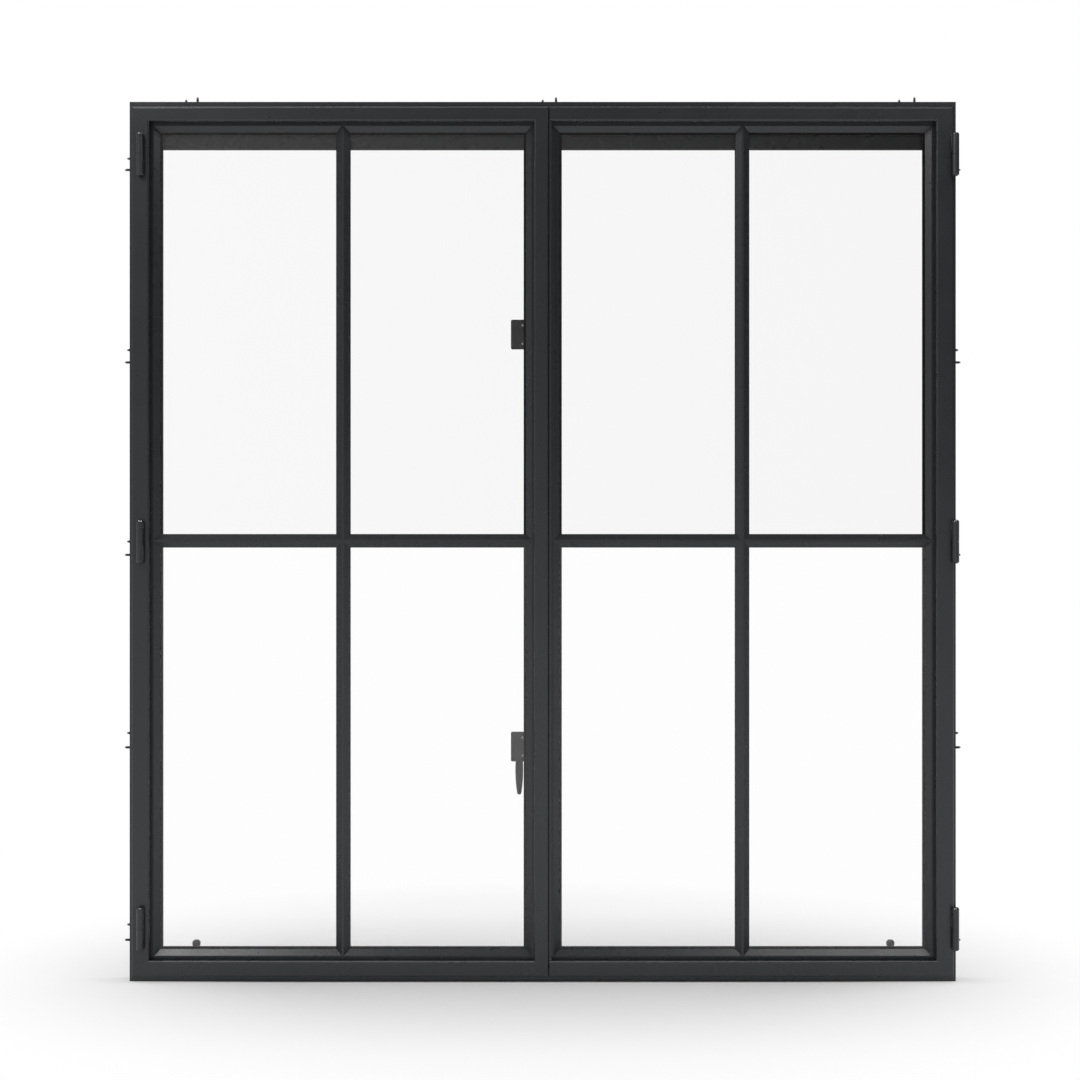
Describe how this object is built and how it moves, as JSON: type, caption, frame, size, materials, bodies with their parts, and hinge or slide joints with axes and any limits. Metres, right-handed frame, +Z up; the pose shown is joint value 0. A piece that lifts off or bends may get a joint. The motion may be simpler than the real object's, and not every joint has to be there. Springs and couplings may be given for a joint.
{
  "type": "steel framed window",
  "caption": "Steel framed window: side-hung casements meeting in the middle, with glazing bars and sloping beads, in a slim fixed frame on weld-on hinges, closed by a lever latch.",
  "frame": {"origin": "middle of the flat underside of the sill, halfway through the fixed frame's depth", "axes": "+X to the right seen from outside, +Y from outside into the room, +Z up"},
  "size_m": [1.571, 0.0751, 1.6605],
  "materials": {
    "painted_steel": "satin powder coat in anthracite grey",
    "window_glass": "clear float glass",
    "ironmongery_grey": "satin mid grey coating on latches, lever and pegs",
    "zinc_plated_steel": "dull zinc plated screws"
  },
  "bodies": {
    "window": {"frame_head": "painted_steel", "frame_left_jamb": "painted_steel", "frame_right_jamb": "painted_steel", "frame_sill": "painted_steel", "head_fixing_screws": "zinc_plated_steel", "inner_head_rail": "painted_steel", "left_jamb_fixing_screws": "zinc_plated_steel", "left_leaf_bottom_rail": "painted_steel", "left_leaf_cross_bar": "painted_steel", "left_leaf_cross_beads": "painted_steel", "left_leaf_hinge_stile": "painted_steel", "left_leaf_lower_left_pane": "window_glass", "left_leaf_lower_right_pane": "window_glass", "left_leaf_meeting_stile": "painted_steel", "left_leaf_top_rail": "painted_steel", "left_leaf_upper_left_pane": "window_glass", "left_leaf_upper_right_pane": "window_glass", "left_leaf_upright_bar": "painted_steel", "left_leaf_upright_beads": "painted_steel", "left_lower_hinge": "painted_steel", "left_middle_hinge": "painted_steel", "left_stay_peg": "ironmongery_grey", "left_upper_hinge": "painted_steel", "lower_latch": "ironmongery_grey", "meeting_stop_bar": "painted_steel", "right_jamb_fixing_screws": "zinc_plated_steel", "right_leaf_bottom_rail": "painted_steel", "right_leaf_cross_bar": "painted_steel", "right_leaf_cross_beads": "painted_steel", "right_leaf_hinge_stile": "painted_steel", "right_leaf_lower_left_pane": "window_glass", "right_leaf_lower_right_pane": "window_glass", "right_leaf_meeting_stile": "painted_steel", "right_leaf_top_rail": "painted_steel", "right_leaf_upper_left_pane": "window_glass", "right_leaf_upper_right_pane": "window_glass", "right_leaf_upright_bar": "painted_steel", "right_leaf_upright_beads": "painted_steel", "right_lower_hinge": "painted_steel", "right_middle_hinge": "painted_steel", "right_stay_peg": "ironmongery_grey", "right_upper_hinge": "painted_steel", "upper_latch": "ironmongery_grey"},
    "lever": {"latch_lever": "ironmongery_grey"}
  },
  "joints": [
    {"name": "lever_turn", "type": "hinge", "parent": "window", "child": "lever", "pos_m": [-0.0446, 0.03, 0.4372], "axis": [0, 1, 0], "range_deg": [0, 90]}
  ]
}
